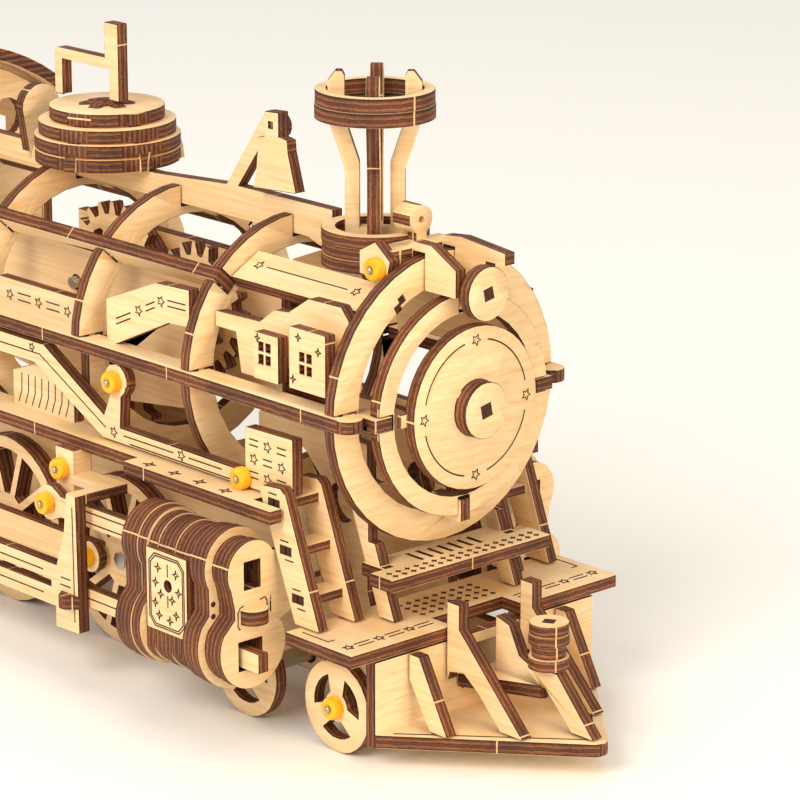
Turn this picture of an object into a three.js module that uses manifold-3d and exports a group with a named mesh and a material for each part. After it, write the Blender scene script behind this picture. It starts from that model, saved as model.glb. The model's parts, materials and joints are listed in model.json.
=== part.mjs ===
// Laser-cut plywood steam locomotive model, built from flat 2 mm parts that slot together.
// Millimetres, +X forward, +Z up, -Y is the engine's right-hand side.
// While drawing, x = 0 is the front face of the smokebox door and z = 0 the boiler axis.
import * as THREE from 'three';
import { mergeVertices } from 'three/addons/utils/BufferGeometryUtils.js';
import Module from 'manifold-3d';

const wasm = await Module();
wasm.setup();

// Driving dimensions
const ply = 2;                 // sheet thickness
const fit = 0.15;              // clearance in a slot
const gap = 0.3;               // clearance between faces that only face each other
const railZ = -50.4;           // underside of the wheels
const boilerR = 22.2;          // outside of the boiler rings
const boilerInnerR = 17.3;
const boilerZ = 0.4;
const doorR = 12.4;
const ringX = [-6.6, -39.5, -66.5, -93.5];   // front faces of the four boiler rings
const boardZ = 1.3;            // top of the running boards
const footZ = -13.7;           // top of the footplates
const deckZ = -31.4;           // top of the front deck
const floorZ = -44.9;          // top of the pilot floor
const tipX = 27.3;             // nose of the pilot
const cylinderX = -13.5;       // front face of the cylinders
const cylinderY = 32.2;        // cylinder centre from the middle plane
const cabX = -135;             // front face of the cab
const cabLength = 40;
const cabY = 25;               // outside of the cab sides
const leadR = 7.1;
const leadX = [-6.9, -27.6];
const driverR = 14;
const driverX = [-65.5, -95.5, -125.5];
const crankR = 5;
const driverY = 15.5;          // outer face of the driving wheels
const frameY = 9;              // outer face of the frame plates
const gearModule = 1;
const chimneyX = -22;
const domeX = -86.5;

// Outline helpers: every outline is a list of [u, v] points, every hole another list
function arc(cu, cv, r, from, to, steps) {
  const points = [];
  for (let i = 0; i <= steps; i += 1) {
    const a = THREE.MathUtils.degToRad(from + (to - from) * i / steps);
    points.push([cu + r * Math.cos(a), cv + r * Math.sin(a)]);
  }
  return points;
}

function circle(cu, cv, r, steps) {
  return arc(cu, cv, r, 0, 360 - 360 / steps, steps - 1);
}

function rect(u0, u1, v0, v1) {
  return [[u0, v0], [u1, v0], [u1, v1], [u0, v1]];
}

// A straight-edged strip between two points, with round ends
function link(u0, v0, u1, v1, r, steps = 8) {
  const turn = THREE.MathUtils.radToDeg(Math.atan2(v1 - v0, u1 - u0));
  return [
    ...arc(u1, v1, r, turn - 90, turn + 90, steps),
    ...arc(u0, v0, r, turn + 90, turn + 270, steps),
  ];
}

function sheet(outline, holes, thickness) {
  const shape = new THREE.Shape(outline.map(([u, v]) => new THREE.Vector2(u, v)));
  for (const hole of holes) {
    shape.holes.push(new THREE.Path(hole.map(([u, v]) => new THREE.Vector2(u, v))));
  }
  return new THREE.ExtrudeGeometry(shape, { depth: thickness, bevelEnabled: false });
}

// A sheet standing across the engine: outline in (y, z), from x0 to x1
function across(outline, x0, x1, holes = []) {
  const geometry = sheet(outline, holes, x1 - x0);
  const basis = new THREE.Matrix4().makeBasis(
    new THREE.Vector3(0, 1, 0), new THREE.Vector3(0, 0, 1), new THREE.Vector3(1, 0, 0));
  return geometry.applyMatrix4(basis).translate(x0, 0, 0);
}

// A sheet standing along the engine: outline in (x, z), from y0 to y1
function along(outline, y0, y1, holes = []) {
  const geometry = sheet(outline, holes, y1 - y0);
  const basis = new THREE.Matrix4().makeBasis(
    new THREE.Vector3(1, 0, 0), new THREE.Vector3(0, 0, 1), new THREE.Vector3(0, -1, 0));
  return geometry.applyMatrix4(basis).translate(0, y1, 0);
}

// A sheet lying flat: outline in (x, y), from z0 to z1
function flat(outline, z0, z1, holes = []) {
  return sheet(outline, holes, z1 - z0).translate(0, 0, z0);
}

function block(x0, x1, y0, y1, z0, z1) {
  const geometry = new THREE.BoxGeometry(x1 - x0, y1 - y0, z1 - z0);
  return geometry.translate((x0 + x1) / 2, (y0 + y1) / 2, (z0 + z1) / 2);
}

function solid(geometry) {
  const bare = new THREE.BufferGeometry();
  bare.setAttribute('position', geometry.getAttribute('position').clone());
  if (geometry.index) bare.setIndex(geometry.index.clone());
  const merged = mergeVertices(bare, 1e-4);
  return new wasm.Manifold(new wasm.Mesh({
    numProp: 3,
    vertProperties: new Float32Array(merged.getAttribute('position').array),
    triVerts: new Uint32Array(merged.index.array),
  }));
}

function geometryOf(body) {
  const mesh = body.getMesh();
  const geometry = new THREE.BufferGeometry();
  geometry.setAttribute('position', new THREE.BufferAttribute(mesh.vertProperties, 3));
  geometry.setIndex(new THREE.BufferAttribute(mesh.triVerts, 1));
  return geometry;
}

function join(pieces) {
  return geometryOf(pieces.map(solid).reduce((all, next) => all.add(next)));
}

function cut(piece, tools) {
  return geometryOf(tools.map(solid).reduce((rest, tool) => rest.subtract(tool), solid(piece)));
}

// The same part for the other side of the engine
function mirrored(geometry) {
  const copy = geometry.index ? geometry.toNonIndexed() : geometry.clone();
  copy.deleteAttribute('normal');
  copy.deleteAttribute('uv');
  const positions = copy.getAttribute('position');
  for (let i = 0; i < positions.count; i += 3) {
    const corner = [0, 1, 2].map((k) => new THREE.Vector3().fromBufferAttribute(positions, i + k));
    [0, 2, 1].forEach((k, slot) => {
      positions.setXYZ(i + slot, corner[k].x, -corner[k].y, corner[k].z);
    });
  }
  return copy;
}

// Materials
const wood = new THREE.MeshStandardMaterial({ color: 0xe9cfa2, roughness: 0.75, metalness: 0 });

const engine = new THREE.Group();

function add(name, geometry) {
  const mesh = new THREE.Mesh(geometry, wood.clone());
  mesh.name = name;
  engine.add(mesh);
}

function addPair(name, geometry) {
  add(`${name}_right`, geometry);
  add(`${name}_left`, mirrored(geometry));
}

// Boiler rings, slotted for the stringers, running boards and spine
const stringerOuter = boilerR + 0.4;
const stringerInner = 18.6;

function stringerPlate(x0, x1, r0, r1, thickness) {
  const strip = block(x0, x1, r0, r1, -thickness / 2, thickness / 2);
  return strip.applyMatrix4(new THREE.Matrix4().makeRotationX(THREE.MathUtils.degToRad(137)))
    .translate(0, 0, boilerZ);
}

function spineSlot(x) {
  return block(x - ply - 1, x + 1, -ply / 2 - fit, ply / 2 + fit, 19.2 - fit, 30);
}

function boardSlots(x) {
  return [-1, 1].map((side) => block(
    x - ply - 1, x + 1,
    Math.min(side * 17.4, side * 30), Math.max(side * 17.4, side * 30),
    boardZ - ply - fit, boardZ + fit));
}

function stringerSlots(x) {
  const slot = stringerPlate(x - ply - 1, x + 1, stringerInner - fit, 30, ply + 2 * fit);
  return [slot, mirrored(slot)];
}

function boilerRing(x) {
  return across(circle(0, boilerZ, boilerR, 40), x - ply, x,
    [circle(0, boilerZ, boilerInnerR, 32)]);
}

const pegR = [14.6, 16.6];       // the four pegs that carry the smokebox ring
function ringPegs() {
  return [0, 90, 180, 270].map((turn) => {
    const peg = block(
      ringX[0] - ply + 0.1, -ply - fit, pegR[0], boilerInnerR + boilerZ + 0.3, -ply / 2, ply / 2);
    return peg.applyMatrix4(new THREE.Matrix4().makeRotationX(THREE.MathUtils.degToRad(turn)));
  });
}

add('ring_front', cut(join([boilerRing(ringX[0]), ...ringPegs()]), boardSlots(ringX[0])));
function leverSlots(x) {
  return [-1, 1].map((side) => block(
    x - ply - 1, x + 1, side * 23 - 2.8, side * 23 + 2.8, -9.5, boardZ - ply));
}
const gearSlot = block(ringX[3] - ply - 1, ringX[3] + 1, -2, 2, -30, -10);
const ringNames = ['ring_second', 'ring_third', 'ring_fourth'];
ringNames.forEach((name, i) => {
  const x = ringX[i + 1];
  const slots = [...boardSlots(x), ...stringerSlots(x), spineSlot(x)];
  if (i > 0) slots.push(...leverSlots(x));
  if (i === 2) slots.push(gearSlot);
  add(name, cut(boilerRing(x), slots));
});

// Smokebox front: a ring on the four pegs, then the round door and its hub
function smokeboxRing() {
  const front = -ply - gap - 0.2;
  const ring = across(circle(0, 0, 17, 44), front - ply, front, [circle(0, 0, 13.95, 36)]);
  const slots = [0, 90, 180, 270].map((turn) => block(
    -10, 10, pegR[0] - fit - 0.3, pegR[1] + 3, -ply / 2 - fit, ply / 2 + fit)
    .applyMatrix4(new THREE.Matrix4().makeRotationX(THREE.MathUtils.degToRad(turn))));
  return cut(ring, slots);
}
add('smokebox_ring', smokeboxRing());

function smokeboxDoor() {
  const disc = across(circle(0, 0, doorR, 40), -ply, 0);
  const back = across(rect(-13.6, 13.6, -1, 1), -ply - 0.2, -ply + 0.5);
  const hub = across(circle(0, 0, 4.3, 24), -0.1, ply + 0.3);
  return join([disc, back, hub]);
}
add('smokebox_door', smokeboxDoor());

// Spine plate along the top, with the strut that carries the bell
const spineTop = 24.6;
function spinePlate() {
  const knob = arc(-43.9, 35.4, 1.9, -80, 95, 8);
  const plate = along([
    [cabX + 1, 19.2 + gap], [-36.2, 19.2 + gap], [-33.5, 18.6], [chimneyX - 8.6, 18.6],
    [chimneyX - 8.6, spineTop], [-52.7, spineTop], [-47.6, 31.3], [-45.6, 33],
    ...knob, [-46.1, 37.3], [-55.4, spineTop - 0.1], [-73, 23.3], [cabX + 1, 23.3],
  ], -ply / 2, ply / 2);
  const finial = across([[-2.6, 22], [2.6, 22], ...arc(0, 29.2, 3.8, -20, 200, 12)], -106, -104);
  return join([plate, finial]);
}
add('spine_plate', cut(spinePlate(), [block(domeX - 13, domeX + 13, -3, 3, 23.3, 30)]));

// Bell: one flared plate on the side of the strut, with a square hole near its top
function bell() {
  const outline = [
    [-43.4, 38.2], [-43.5, 34.3], [-45.1, 33.9], [-45.2, 31.8], [-45.6, 28.7], [-46.3, 25.8],
    [-36.4, 26.5], [-38.2, 32.4], [-38.4, 34.3], [-40.2, 34.6], [-40.2, 38.4],
  ];
  const face = -ply / 2 - gap;
  return along(outline, face - ply, face, [rect(-42.6, -41.6, 35.7, 36.7)]);
}
add('bell', bell());

// Running boards with the low panel and the chevron panel standing on them
function runningBoard() {
  const tip = arc(-5.2, -20.45, 2.15, -90, 90, 8);
  const board = flat([[cabX + gap, -22.6], ...tip, [cabX + gap, -18.3]], boardZ - ply, boardZ);
  const notches = ringX.map((x) => block(x - ply - fit, x + fit, -21, -10, -10, 10));
  const low = along(rect(ringX[3] + gap + 3, ringX[2] - ply - gap, boardZ - 0.1, 6.6), -20, -20 + ply);
  const chevronEnd = ringX[1] - ply - gap;
  const chevron = along([
    [-62, boardZ - 0.1], [-60.2, boardZ - 0.1], [-46.9, 7.2], [chevronEnd, 7.5], [chevronEnd, 13.3],
    [-49.5, 13], [-62, 8.1],
  ], -20, -20 + ply);
  return join([cut(board, notches), low, chevron]);
}
addPair('running_board', runningBoard());

// Upper stringers lie on edge in the rings, halfway up the boiler
function stringer() {
  const strip = stringerPlate(cabX + gap, ringX[1] + 0.3, stringerInner, stringerOuter, ply);
  const notches = ringX.slice(1).map((x) => stringerPlate(
    x - ply - fit, x + fit, stringerInner - 1, 20.4, ply + 2));
  return cut(strip, notches);
}
addPair('upper_stringer', stringer());

// A small upright plate with a four-pane window, on a tab that stands it off the panel
function windowPlate(x0, x1, z0, z1, y, [paneX, paneZ]) {
  const panes = [-0.8, 0.8].flatMap((dx) => [-0.95, 0.95].map((dz) => block(
    paneX + dx - 0.6, paneX + dx + 0.6, y - 1, y + ply + 1, paneZ + dz - 0.72, paneZ + dz + 0.72)));
  const tab = block(x0 + 0.8, x1 - 0.8, y + ply - 0.1, -16.9, z0 + 0.4, z0 + 1.6);
  return [cut(along(rect(x0, x1, z0, z1), y, y + ply), panes), tab];
}

// Window panel between the first two rings: a stepped plate that carries two window plates
function windowPanel() {
  const right = ringX[0] - ply - gap;
  const plate = along([
    [ringX[1] + gap, 7.8], [-34.4, 7.8], [-33.3, boardZ + gap], [-29.5, boardZ + gap], [-29.5, 3.2],
    [right, 3.3], [right, 14.1], [-10.8, 16.2], [-17.6, 16.1], [-22.3, 13.1], [-25.6, 12.8],
    [-28.9, 10.4], [ringX[1] + gap, 10.1],
  ], -17, -17 + ply);
  const small = windowPlate(-26.3, -20.8, 3, 10.1, -20.4, [-23.9, 7.1]);
  const large = windowPlate(-17.6, -9.6, 3.4, 12.7, -21, [-14, 7.6]);
  return join([plate, ...small, ...large]);
}
addPair('window_panel', windowPanel());

// Sloping strip above the windows
function roofStrip() {
  const strip = block(ringX[1] + gap, ringX[0] - ply - gap, -3.1, 3.1, -ply / 2, ply / 2);
  strip.applyMatrix4(new THREE.Matrix4().makeRotationX(THREE.MathUtils.degToRad(30)));
  return strip.translate(0, -10.6, 15.6);
}
addPair('roof_strip', roofStrip());

// Chimney: a stack of rings, two crossed flared fins and a crown of three rings
const baseTop = 23.7;
function chimneyBase() {
  return flat(circle(chimneyX, 0, 8.2, 32), 18, baseTop, [circle(chimneyX, 0, 6, 26)]);
}
add('chimney_base', chimneyBase());

function finOutline(centre) {
  const half = [
    [4.5, 18.2], [4.5, 32.5], [7, 40], [7, 45.6], [5.8, 47.2], [4.9, 47.2], [4.5, 46.4],
    [4.5, 40.2], [2.3, 33.4], [2.3, 23.6],
  ];
  const other = half.slice().reverse().map(([u, v]) => [-u, v]);
  return [...half, ...other].map(([u, v]) => [centre + u, v]);
}
function chimneyFins() {
  const fins = [45, -45].map((turn) => along(finOutline(0), -ply / 2, ply / 2)
    .applyMatrix4(new THREE.Matrix4().makeRotationZ(THREE.MathUtils.degToRad(turn)))
    .translate(chimneyX, 0, 0));
  return join(fins);
}
add('chimney_fins', chimneyFins());

function chimneyCrown() {
  return flat(circle(chimneyX, 0, 9.1, 36), 40.2, 44.6, [circle(chimneyX, 0, 7.3, 30)]);
}
add('chimney_crown', chimneyCrown());

// Headlamp: two discs held by a pair of brackets over the front ring
const lampZ = 17.7;
add('headlamp', across(circle(0, lampZ, 4.1, 24), 0.6, 0.6 + ply));

function lampBracket() {
  const rear = [[-13, 21.4], [-13, 19.6], [-8.9, 19.6], [-8.9, 22.9], [-6.3, 22.9], [-6.3, 17.3]];
  const near = along([...rear, [0.2, 17.3], [0.2, 21.4], [-2.6, 22.9], [-5, 24.2], [-9, 24.2]], -4.4, -2.4);
  const far = along([...rear, [0.2, 17.3], [0.2, 21.9], [4.2, 21.9], [4.2, 23.7], [-5, 24.6], [-9, 24.2]],
    1.6, 3.6);
  const platform = flat(rect(-13.4, -9, -8, 5), 21.2, 23.2);
  const post = block(-13.8, -11.8, -1, 1, 23.1, 24.6);
  const whistle = across(circle(0, 26.3, 2.2, 18), -15.8, -11.8, [circle(0, 26.3, 0.55, 8)]);
  const bracket = along([[-15, 19.2], [-9.2, 19.2], [-8.4, 22], [-11.6, 24.4], [-15, 22.6]], -9.4, -7.4);
  return join([near, far, platform, post, whistle, bracket]);
}
add('lamp_bracket', lampBracket());

// Dome: four stacked discs gripped by three crossed ribs, and a square handle on top
const domeRadii = [11.8, 11.8, 11.1, 9.3];
const domePitch = 2.3;
const domeZ = 23.5;
const domeTop = domeZ + 9.6;
const ribTurns = [8, 68, 128];       // degrees from straight ahead, toward the right-hand side
function dome() {
  const discs = domeRadii.map((r, i) => flat(
    circle(domeX, 0, r, 40), domeZ + i * domePitch, domeZ + i * domePitch + ply));
  const rib = arc(0, 0, 1, 0, 180, 20).map(([u, v]) => [u * 12.3, domeZ + v * (domeTop - domeZ)]);
  const ribs = ribTurns.map((turn) => along(rib, -ply / 2, ply / 2)
    .applyMatrix4(new THREE.Matrix4().makeRotationZ(THREE.MathUtils.degToRad(-turn)))
    .translate(domeX, 0, 0));
  const core = flat(circle(domeX, 0, 6, 12), domeZ + 0.5, domeZ + 3 * domePitch + 1);
  return join([...discs, ...ribs, core]);
}
add('dome', dome());
const handleFoot = domeTop + gap;

function domeHandle() {
  const outline = [
    [-98.8, 32.5], [-96.9, 32.5], [-96.9, 38.4], [-84.9, 38.4], [-84.6, 38], [-84.6, handleFoot],
    [-82.2, handleFoot], [-82.2, 45.9], [-85.6, 45.9], [-85.6, 40.1], [-98.3, 40.1], [-98.8, 39.6],
  ];
  return along(outline, -ply / 2, ply / 2);
}
add('dome_handle', domeHandle());

// Cylinders, their rods and the bracket round them are drawn about the cylinder's own lines,
// then moved in to the engine by this much
const outboard = [-3.7, 3.4, -1.2];

// Footplates with the bracket that hangs the slide bars
function footplate() {
  const plate = flat([
    [cabX + gap, -24.6], [-49.1, -24.6], [-49.1, -27.4], [-14.7, -27.4], [-14.7, -25.2],
    [-21, -25.2], [-21, -18.2], [cabX + gap, -18.2],
  ], footZ - ply, footZ);
  const armTop = footZ - ply - outboard[2] + 0.1;
  const arm = block(-64, -59.6, -29.6, -26, -22, armTop);
  const link = block(-60.5, -50.4, -29.6, -26.2, -19.8, -18.2);
  const cross = block(-52.8, -50.4, -36.4, -29, -19.8, -18.2);
  const hanger = along([
    [-52.4, -18.2], [-50.2, -18.2], [-49.9, -40.2], [-55.7, -40.4], [-55.6, -31.4], [-53.2, -24.5],
  ], -36.6, -34.6);
  const nub = flat([[-54.3, -36.5], ...arc(-52, -37.1, 1.4, -150, -30, 6), [-49.7, -36.5]], -36.2, -34.2);
  const hung = [arm, link, cross, hanger, nub].map((part) => part.translate(...outboard));
  const grate = along([
    [-86.3, footZ - 0.1], [-70.5, footZ - 0.1], [-70.5, -7.6], [-76, -4.6], [-86.3, -8.2],
  ], -20.3, -18.4);
  return join([plate, ...hung, grate]);
}
addPair('footplate', footplate());

// Side lever: one bent plate with a star block, a long bar, an arm and a diagonal
function sideLever() {
  const outline = [
    [-20.6, footZ + gap], [-20.6, -12.5], [-15.3, -12.5], [-15.3, -3.9], [-26, -4.1], [-26, -11.1], [-56, -10.9],
    ...arc(-57, -3.6, 2.7, -60, 240, 12),
    [-60, -9.6], [-75.1, -1.4], [-104, -1.4], [-104, -4.9], [-77.9, -4.7], [-60.4, footZ + gap],
  ];
  return along(outline, -22.5, -20.5);
}
addPair('side_lever', sideLever());

// Cylinder block: layered figure-of-eight plates with square tunnels for the rods
const upperZ = -21.8;
const lowerZ = -33.8;
const tunnelUpper = [-24.6, -20.2];
const tunnelLower = [-37, -32.4];
function eight(upperR, lowerR, waist) {
  return [
    ...arc(-cylinderY, upperZ, upperR, -28, 208, 14),
    [-cylinderY - waist, -27.4], [-cylinderY - waist, -28.6],
    ...arc(-cylinderY, lowerZ, lowerR, 152, 388, 16),
    [-cylinderY + waist, -28.6], [-cylinderY + waist, -27.4],
  ];
}
function cylinderBlock() {
  const x = cylinderX;
  const front = across(eight(4.7, 6.3, 3.4), x - 2 * ply, x);
  const frontBig = across(eight(5.8, 7.3, 5), x - 4 * ply, x - 2 * ply + 0.1);
  const middle = across(eight(5.1, 6.6, 4.6), x - 9 * ply, x - 4 * ply + 0.1);
  const rear = across(eight(5.8, 7.3, 5), x - 12 * ply, x - 9 * ply + 0.1);
  const armEnd = -frameY - gap - outboard[1];
  const arm = across([[-28.6, -31.4], [-24.9, -29.6], [-24.9, -27.6], [armEnd, -27.6],
    [armEnd, -25.6], [-24.9, -25.6], [-24.9, -20.4], [-28.6, -19.2]], x - ply, x);
  const sidePlate = block(x - 17.6, x - 8.2, -38, -36.4, -33.6, -21);
  const tongue = flat([[x - 1, -33.8], ...arc(x + 0.3, -31.5, 2.3, -90, 90, 6), [x - 1, -29.2]],
    -29.8, -27.4);
  const body = join([front, frontBig, middle, rear, arm, sidePlate, tongue]);
  return cut(body, [
    block(-60, 0, -33.8, -30.6, tunnelUpper[0], tunnelUpper[1]),
    block(-60, 0, -35, -30.4, tunnelLower[0], tunnelLower[1]),
  ]);
}
addPair('cylinder', cylinderBlock().translate(...outboard));

// Crosshead: a slotted guide bar behind, a rod through the cylinder in front
function crosshead() {
  return along([
    [-10, -33.6], [-10, -36.6], [-50.8, -36.6], [-58, -38.6], [-108, -38.6], [-108, -31.6],
    [-58, -31.6], [-50.8, -33.6],
  ], -34.2, -32.2, [rect(-106, -60, -35.6, -34.4)]);
}
addPair('crosshead', crosshead().translate(...outboard));

// Valve rod above it, fixed in the upper tunnel
function valveRod() {
  return along([
    [-17, -20.8], [-17, -24], [-58.6, -24.2], ...arc(-61.7, -22.4, 2.9, -50, -310, 10), [-58.6, -20.9],
  ], -33, -31.2);
}
addPair('valve_rod', valveRod().translate(...outboard));

// Front deck, with slots for the ladders
function frontDeck() {
  const recess = 7.2;
  return flat([
    [-11.6, -27.3], [2.8, -27.3], [2.8, -recess], [-1.6, -recess], [-1.6, recess], [2.8, recess],
    [2.8, 27.3], [-11.6, 27.3],
  ], deckZ - ply, deckZ);
}
add('front_deck', frontDeck());

// Grille shelf and the two struts that carry it
const shelfZ = -23.3;
function grilleShelf() {
  const slots = [-6, -4, -2, 0, 2, 4, 6].map((y) => rect(-8.4, -4.8, y - 0.4, y + 0.4));
  const shelf = flat([
    [-0.6, -16.3], [-0.6, 16.3], [-5.3, 16.3], [-5.3, 13.8], [-9.9, 13.8], [-9.9, -13.8],
    [-5.3, -13.8], [-5.3, -16.3],
  ], shelfZ - ply, shelfZ, slots);
  const strut = along([
    [-3.2, deckZ + gap], [-6.4, deckZ + gap], [-14.6, -10], [-11.4, -10],
  ], -13.4, -11.4);
  const ringGap = block(ringX[0] - ply - gap, ringX[0] + gap, -14, 14, -20, 0);
  return cut(join([shelf, strut, mirrored(strut)]), [ringGap]);
}
add('grille_shelf', grilleShelf());

// Ladders: two leaning sides and three treads each
function ladder() {
  const side = [
    [-7.3, deckZ + gap], [-12.6, deckZ + gap], [-20.2, -12.4], [-19.6, -11.2], [-15.6, -10.9],
    [-14.7, -11.6],
  ];
  const outer = along(side, -24.6, -22.6);
  const inner = along(side, -17.5, -15.5);
  const treads = [-26.4, -19.5, -12.8].map((z) => {
    const x = -7.3 - (z - deckZ) * 0.385;
    return block(x - 4.6, x - 0.6, -22.7, -17.4, z - ply * 0.7, z);
  });
  return join([outer, inner, ...treads]);
}
addPair('ladder', ladder());

// Pilot: a pointed floor with an upright bulkhead, five ribs, a shelf and a buffer
function pilotFloor() {
  const floor = flat([
    [0.6, -22.4], [2.6, -22.4], ...arc(tipX - 2.2, 0, 2.2, -48, 48, 6), [2.6, 22.4], [0.6, 22.4],
  ], floorZ - ply, floorZ);
  const bulkhead = across(rect(-22.4, 22.4, floorZ - 0.1, deckZ - ply - gap), 0.6, 2.6,
    [rect(-5, 5, floorZ + 3, deckZ - 4)]);
  return join([floor, bulkhead]);
}
add('pilot_floor', pilotFloor());

function lowRib() {
  return [[3, deckZ - ply - gap], [5, deckZ - ply - gap], [11, floorZ + gap],
    [7.4, floorZ + gap], [3, -37.6]];
}
function tallRib() {
  return [[3.1, -27.3], [5.6, -27.3], [5.6, -31.2], [19, floorZ + gap], [14.4, floorZ + gap],
    [9.6, -39.8], [6.6, -37.6], [3.6, -38.2], [3.1, -39.6]];
}
function middleRib() {
  return [[5.6, -30.6], [8.4, -31.4], [10.6, -35.6], [12.6, -36.4], [18.4, -36.4],
    [26, floorZ + gap], [21.6, floorZ + gap], [16.2, -39.6 + gap], [5.6, -39.6 + gap]];
}
const ribs = [
  ['pilot_rib_outer', lowRib(), 15],
  ['pilot_rib_tall', tallRib(), 7.5],
];
for (const [name, outline, y] of ribs) {
  addPair(name, along(outline, -y - ply / 2, -y + ply / 2));
}
const pilotShelf = flat([[3, -6.2], ...arc(14.4, 0, 1, -42, 42, 4), [3, 6.2]], -41.2, -39.2);
add('pilot_rib_middle', join([along(middleRib(), -ply / 2, ply / 2), pilotShelf]));
add('buffer', flat(circle(15.8, 0, 3.1, 22), -36.1, -29.1));

// Cab: front wall, two sides and a curved roof
const cabTop = 24;
function cabFront() {
  const outline = [[-cabY + ply + gap, footZ + gap], [cabY - ply - gap, footZ + gap],
    [cabY - ply - gap, cabTop], ...arc(0, cabTop - 30, 38.2, 52, 128, 12), [-cabY + ply + gap, cabTop]];
  const port = circle(0, boilerZ, 12, 24);
  const windows = [-1, 1].map((side) => circle(side * 15.6, 20.4, 3.4, 14));
  const floor = flat(rect(cabX - cabLength, cabX - 0.1, -cabY + ply + gap, cabY - ply - gap),
    footZ + gap, footZ + gap + ply);
  return join([across(outline, cabX - ply, cabX, [port, ...windows]), floor]);
}
add('cab_front', cabFront());

function cabSide() {
  return along(rect(cabX - cabLength, cabX, footZ - 4, cabTop), -cabY, -cabY + ply);
}
addPair('cab_side', cut(cabSide(), [
  ...[-16, -36].map((x) => block(cabX + x - 5.5, cabX + x + 5.5, -30, -20, 6, 18)),
]));

function cabRoof() {
  const outer = arc(0, cabTop - 30, 41.4, 48.5, 131.5, 16);
  const inner = arc(0, cabTop - 30, 39.2, 131.5, 48.5, 16);
  return across([...outer, ...inner], cabX - cabLength - 3, cabX + 3);
}
add('cab_roof', cabRoof());

// Idler, spring drum and flywheel centres, [x, z]
const gearPlaces = [[-88, -17.86], [-84, 4.79], [-63.09, 2.85]];

// Frame plates: axle plates below, gear plates inside the boiler, one lug joining them
function framePlate() {
  const outline = [
    [-2, -36], [-2, -46], [-12, -46], [-18, -40], [-22, -46], [-34, -46], [-38, -40], [-148, -40],
    [-148, -22.6], [-91, -22.6], [-91, -12.5], [-104, -11], [-104, 11], [-52, 11], [-52, -10],
    [-72, -12.5], [-72, -22.6], [-38.8, -22.5], [-38.8, -7], [-14, -7], [-14, -30], [-12, -36],
  ];
  const holes = [
    ...leadX.map((x) => circle(x, railZ + leadR, 1.8, 10)),
    ...driverX.map((x) => circle(x, railZ + driverR, 1.8, 10)),
    ...gearPlaces.map(([x, z]) => circle(x, z, 1.3, 10)),
    circle(-30.6, -15.2, 5, 20),
    circle(-19.6, -17.3, 3.2, 16),
  ];
  return along(outline, -frameY, -frameY + ply, holes);
}

// Gear train from the middle driving axle up to the spring drum in the boiler
const teeth = [16, 24, 22, 20];
function gearOutline(x, z, count, phase) {
  const pitch = count * gearModule / 2;
  const points = [];
  for (let i = 0; i < count; i += 1) {
    const step = 360 / count;
    const centre = phase + i * step;
    const rim = [[pitch - 1.15, -0.32], [pitch + 0.85, -0.13], [pitch + 0.85, 0.13], [pitch - 1.15, 0.32]];
    for (const [r, share] of rim) {
      const a = THREE.MathUtils.degToRad(centre + share * step);
      points.push([x + r * Math.cos(a), z + r * Math.sin(a)]);
    }
  }
  return points;
}

// Phase that puts a tooth of the next gear in a gap of the last one
function meshPhase(from, to, fromCount, toCount, fromPhase) {
  const line = THREE.MathUtils.radToDeg(Math.atan2(to[1] - from[1], to[0] - from[0]));
  const offset = (line - fromPhase) * fromCount / 360;
  const fraction = offset - Math.floor(offset);
  return line + 180 + (0.5 + fraction) * 360 / toCount;
}

const drivenGear = [driverX[1], railZ + driverR];
const phases = [0];
const places = [drivenGear, ...gearPlaces];
for (let i = 1; i < teeth.length; i += 1) {
  phases.push(meshPhase(places[i - 1], places[i], teeth[i - 1], teeth[i], phases[i - 1]));
}

function shaft(x, z, r, y0, y1) {
  return along(circle(x, z, r, 8), y0, y1);
}

function gearWheel(i, hub) {
  const [x, z] = places[i];
  const pitch = teeth[i] * gearModule / 2;
  const holes = [0, 72, 144, 216, 288].map((turn) => {
    const a = THREE.MathUtils.degToRad(turn + phases[i]);
    return circle(x + pitch * 0.55 * Math.cos(a), z + pitch * 0.55 * Math.sin(a), pitch * 0.2, 8);
  });
  return along(gearOutline(x, z, teeth[i], phases[i]), -1, 1, hub ? [] : holes);
}

addPair('frame_plate', framePlate());

const gearNames = ['idler_gear', 'spring_gear', 'fly_gear'];
gearNames.forEach((name, i) => {
  const [x, z] = places[i + 1];
  const parts = [gearWheel(i + 1, false), shaft(x, z, 1, -frameY - 1, frameY + 1)];
  if (name === 'spring_gear') parts.push(along(circle(x, z, 7.5, 20), 0.9, 5));
  add(name, join(parts));
});

// Wheels
function spokedWheel(x, z, r, y0, y1, spokes) {
  const rim = r * 0.86;
  const hub = r * 0.24;
  const half = 0.62;
  const holes = [];
  for (let i = 0; i < spokes; i += 1) {
    const from = i * 360 / spokes;
    const to = from + 360 / spokes;
    const trim = (radius) => THREE.MathUtils.radToDeg(Math.asin(half / radius));
    holes.push([
      ...arc(x, z, rim, from + trim(rim), to - trim(rim), 3),
      ...arc(x, z, hub + 1, to - trim(hub + 1), from + trim(hub + 1), 1),
    ]);
  }
  return along(circle(x, z, r, 36), y0, y1, holes);
}

function discWheel(x, z, r, y0, y1) {
  const holes = [30, 150, 270].map((middle) => [
    ...arc(x, z, r * 0.7, middle - 38, middle + 38, 5),
    ...arc(x, z, r * 0.34, middle + 26, middle - 26, 3),
  ]);
  return along(circle(x, z, r, 28), y0, y1, holes);
}

function bothSides(make, y0, y1) {
  return [make(-y1, -y0), make(y0, y1)];
}

leadX.forEach((x, i) => {
  const z = railZ + leadR;
  const wheels = bothSides((a, b) => discWheel(x, z, leadR, a, b), 19.5, 21.5);
  add(i === 0 ? 'lead_wheelset' : 'trailing_wheelset', join([...wheels, shaft(x, z, 1.4, -22.8, 22.8)]));
});

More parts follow.
